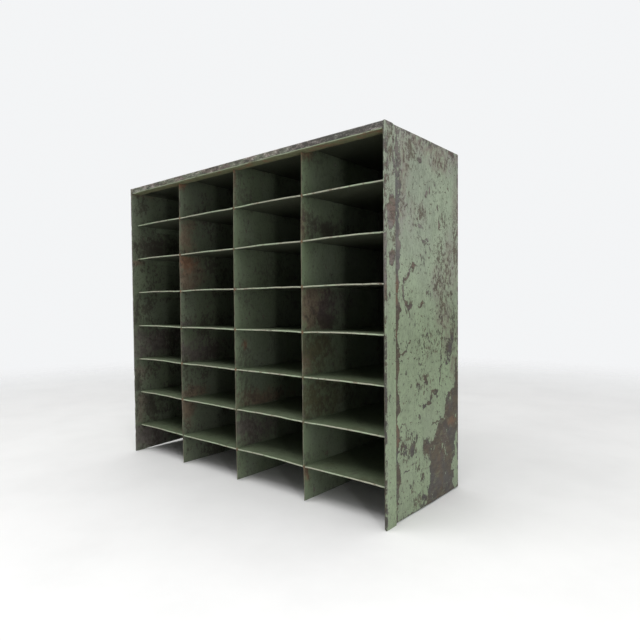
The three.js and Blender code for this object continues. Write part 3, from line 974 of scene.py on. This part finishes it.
def back_paint():
    g = Graph("back_paint", 21.0)
    rx, _, rz = g.parts(g.warped((24, 0.018), (95, 0.007)))
    inner = g.ramp(g.facing_y, 0.3, -0.3)
    top_edge = g.ramp(rz, HEIGHT - 0.03, HEIGHT - 0.005, 0.14)
    foot_edge = g.ramp(rz, 0.07, 0.0, 0.16)
    side_edges = g.ramp(g.math("ABSOLUTE", rx), 0.44, 0.485, 0.12)
    patches = g.ramp(g.noise(8, 5, 0.65, shift=45.0), 0.62, 0.70, 0.15)
    outer = g.rest(inner)
    bare_level = g.add(g.coarse, g.times(g.most(top_edge, foot_edge, side_edges, patches), outer))
    specks = g.add(g.fine, g.times(g.ramp(g.noise(5, 4, 0.6, shift=41.0), 0.50, 0.68, 0.13), outer))
    # The inner face is painted shade; the outer face takes the darker paint that stands for shade low down.
    film = g.mix(inner, paint_film(g, PAINT_SHADED_LOW, PAINT_GREY_SHADED_LOW), BACK_INSIDE_SHADE)
    return worn(g, film, bare_steel(g, 0.4), bare_level, specks, SPECK_DARK)


def stained(g, colour, stains):
    """The colour with ragged stains, each within one row of compartments."""
    ragged = g.add(g.times(g.noise(19, 6, 0.75, shift=20.0), 4.0), g.times(g.fine, 3.0), -3.5)
    blotches = g.add(g.times(g.noise(60, 5, 0.7, shift=44.0), 0.6), g.times(g.fine, 0.4))
    blotchy = g.ramp(blotches, 0.44, 0.56, 0.75)
    for row, depth, share, half_width, half_height, stain in stains:
        low, high = ROWS[row - 1]
        middle = (0, FRONT + depth / 1000, low + share * (high - low))
        spot = g.add(g.spot(middle, (None, half_width / 1000, half_height / 1000)), ragged)
        mask = g.times(g.ramp(spot, -0.3, 0.9, 0.85), g.band(g.z, low, high, 0.004))
        deep_shade = (*[c * 0.55 for c in stain[:3]], 1)
        colour = g.mix(mask, colour, g.mix(blotchy, stain, deep_shade))
    return colour


def divider_paint(index):
    name = f"divider_{index + 1}"
    g = Graph(name + "_paint", 41.0 + index)
    edge = g.ramp(g.y, GRID_FRONT + 0.0022, GRID_FRONT + 0.0006)
    crossings = g.most(*[g.band(g.z, z - 0.004, z + 0.004, 0.003) for z in HEM_Z])
    head = g.ramp(g.z, HEIGHT - 0.045, HEIGHT - 0.022)
    film = g.mix(DULLED[index], paint_film(g, PAINT_INSIDE, PAINT_INSIDE_PALE), STAIN_DARK)
    # A painted pool of light along the front edge.
    film = g.mix(g.ramp(g.y, GRID_FRONT + 0.045, GRID_FRONT + 0.010, FRONT_LIT[index]), film, PAINT_LIT_FRONT)
    film = stained(g, film, STAINS[name])
    grimy = g.ramp(g.add(g.fine, g.times(g.noise(11, 4, 0.6, shift=37.0), 0.8)), 0.94, 1.03, GRIMY[index])
    film = g.mix(grimy, film, STAIN_DARK)
    film = g.mix(g.times(edge, 0.5), film, STAIN_BROWN)
    scuffed = g.times(edge, g.ramp(g.noise(40, 4, 0.6, shift=22.0), 0.46, 0.58))
    film = g.mix(g.times(scuffed, 0.7), film, WORN_EDGE)
    near_edge = g.ramp(g.y, GRID_FRONT + 0.010, GRID_FRONT + 0.002)
    rust = g.times(g.most(crossings, head), near_edge, g.ramp(g.noise(60, 4, 0.7, shift=23.0), 0.38, 0.48))
    film = g.mix(g.times(rust, 0.85), film, STAIN_RUST)
    return worn(g, film, bare_steel(g), g.coarse, g.fine, SPECK_INSIDE, 0.4)


def shelf_paint():
    g = Graph("shelf_paint", 31.0)
    # The undersides behind the lip are painted shade, with darker stains in patches.
    shaded_under = g.times(g.ramp(g.facing_z, -0.5, -0.9), g.ramp(g.y, GRID_FRONT + 0.0008, GRID_FRONT + 0.0020))
    lip = g.ramp(g.y, GRID_FRONT + 0.0022, GRID_FRONT + 0.0014)
    bruise = g.ramp(g.noise(55, 5, 0.7, shift=24.0), 0.54, 0.62)
    greenish = g.ramp(g.noise(16, 3, 0.6, shift=42.0), 0.42, 0.60)
    rusty = g.ramp(g.noise(9, 5, 0.7, shift=25.0), 0.55, 0.68)
    film = paint_film(g, PAINT_INSIDE, PAINT_SHELF)
    film = g.mix(g.times(rusty, 0.5), film, STAIN_OLIVE)
    film = g.mix(shaded_under, film, g.mix(rusty, PAINTED_UNDER_SHADE, STAIN_DARK))
    # The hem's rounded front: worn pale paint and a painted highlight, bruised brown in places.
    worn_lip_and_glint = g.mix(greenish, WORN_LIP_AND_GLINT, LIP_GREEN_AND_GLINT)
    worn_lip_and_glint = g.mix(g.times(bruise, 0.75), worn_lip_and_glint, STAIN_BROWN)
    film = g.mix(lip, film, worn_lip_and_glint)
    return worn(g, film, bare_steel(g), g.add(g.coarse, g.times(lip, -0.05)), g.fine, SPECK_INSIDE, 0.4)


def angle_paint():
    g = Graph("angle_paint", 51.0)
    film = paint_film(g, PAINT_INSIDE, PAINT_INSIDE_PALE)
    return worn(g, film, bare_steel(g), g.coarse, g.fine, SPECK_INSIDE, 0.4)


# ---------------- camera, lights and floor

CAMERA_PLACE = (cad_high.x + 0.6127, FRONT - 0.9432, 0.4912)
CAMERA_AZIMUTH = math.radians(40.13)
CAMERA_PITCH = math.radians(1.804)
CAMERA_ROLL = math.radians(0.491)
CAMERA_LENS = 29.61  # millimetres, on a sensor 36 wide
KEY_ENDS = Vector((1.75, -1.115, 1.1)), Vector((2.75, 1.5, 1.1))
LAMP_HEIGHT = 2.2  # of the two upright lights at the right
KEY_POWER = 9.3
# The other lights: name, centre, the place they face, width, height, watts
LAMPS = [
    ("window", (1.92, -1.21, 1.1), (0.2, 0.0, 1.1), 0.12, LAMP_HEIGHT, 11.5),
    ("overhead", (-0.2, -1.2, 2.4), (-0.2, -0.9, 0.0), 2.4, 1.2, 26),
    ("right", (1.2, -1.9, 0.5), (0.3, -0.2, 0.0), 0.5, 1.0, 2.0),
]
ROOM_LIGHT = 0.25
CEILING_LIGHT = 1.9
CEILING_EDGE = (0.55, 0.85)  # the upward part of the direction in which the ceiling starts and is full
FLOOR_REACH = 14.0
FLOOR_FADE = (1.3, 3.6)  # the floor fades out between these distances from the rack's middle


def camera():
    sine, cosine = math.sin(CAMERA_AZIMUTH), math.cos(CAMERA_AZIMUTH)
    ahead = math.cos(CAMERA_PITCH)
    forward = Vector((-sine * ahead, cosine * ahead, -math.sin(CAMERA_PITCH)))
    level = Vector((cosine, sine, 0))
    down = forward.cross(level)
    right = math.cos(CAMERA_ROLL) * level + math.sin(CAMERA_ROLL) * down
    lower = -math.sin(CAMERA_ROLL) * level + math.cos(CAMERA_ROLL) * down
    data = bpy.data.cameras.new("camera")
    data.lens = CAMERA_LENS
    data.sensor_width = 36
    eye = new_object("camera", data)
    turn = Matrix((right, -lower, -forward)).transposed().to_4x4()
    eye.matrix_world = Matrix.Translation(CAMERA_PLACE) @ turn
    bpy.context.scene.camera = eye


def area_light(name, place, target, width, height, power):
    data = bpy.data.lights.new(name, "AREA")
    data.shape = "RECTANGLE"
    data.size = width
    data.size_y = height
    data.energy = power
    lamp = new_object(name, data)
    lamp.location = place
    lamp.rotation_euler = (Vector(target) - Vector(place)).to_track_quat("-Z", "Y").to_euler()
    lamp.visible_camera = False


def lights():
    """A long soft light and a narrow one at the right, one overhead and a weak one low at the right."""
    near_end, far_end = KEY_ENDS
    middle = (near_end + far_end) / 2
    facing = (far_end - near_end).cross(Vector((0, 0, 1)))
    area_light("key", middle, middle - facing, (far_end - near_end).length, LAMP_HEIGHT, KEY_POWER)
    for lamp in LAMPS:
        area_light(*lamp)


def room():
    """A dim even room with a bright ceiling, which the camera sees as a plain pale background."""
    world = bpy.data.worlds.new("studio")
    bpy.context.scene.world = world
    world.use_nodes = True
    tree = world.node_tree
    tree.nodes.clear()
    direction = add_node(tree, "TexCoord").outputs["Generated"]
    upward = add_node(tree, "SeparateXYZ", {0: direction}).outputs[2]
    inputs = {"Value": upward, "To Min": ROOM_LIGHT, "To Max": CEILING_LIGHT}
    inputs["From Min"], inputs["From Max"] = CEILING_EDGE
    strength = add_node(tree, "MapRange", inputs, interpolation_type="SMOOTHSTEP").outputs[0]
    lit = add_node(tree, "Background", {"Strength": strength}).outputs[0]
    seen = add_node(tree, "Background", {"Color": BACKGROUND}).outputs[0]
    by_camera = add_node(tree, "LightPath").outputs["Is Camera Ray"]
    either = add_node(tree, "MixShader", {0: by_camera, 1: lit, 2: seen}).outputs[0]
    add_node(tree, "OutputWorld", {0: either})


def floor():
    """A plain pale floor that fades into the background further off."""
    g = Graph("floor_paint")
    colour = g.mix(g.ramp(g.noise(3, 5, 0.6), 0.35, 0.7), FLOOR_PALE, FLOOR_GREY)
    far = g.ramp(g.vector_math("LENGTH", g.place)["Value"], *FLOOR_FADE)
    material = g.finish(colour, 0.55, 0.0, g.noise(60, 3), 0.0002, clear=far)
    mesh = bpy.data.meshes.new("floor")
    corners = [(x * FLOOR_REACH, y * FLOOR_REACH, 0) for x, y in ((-1, -1), (1, -1), (1, 1), (-1, 1))]
    mesh.from_pydata(corners, [], [(0, 1, 2, 3)])
    mesh.materials.append(material)
    new_object("floor", mesh)


bpy.context.scene.view_settings.view_transform = "Standard"
camera()
lights()
room()
floor()

bar_material = bar_paint()
side_sheet(-1, side_paint_left())
side_sheet(1, side_paint_right())
front_bar(-1, bar_material)
front_bar(1, bar_material)
top_sheet(top_paint())
back_sheet(back_paint())
shelf_material = shelf_paint()
for index in range(len(SHELVES)):
    shelf(index, shelf_material)
for index in range(len(DIVIDERS)):
    divider(index, divider_paint(index))
angle_material = angle_paint()
for angle in ANGLES:
    shelf_angle(angle, angle_material)
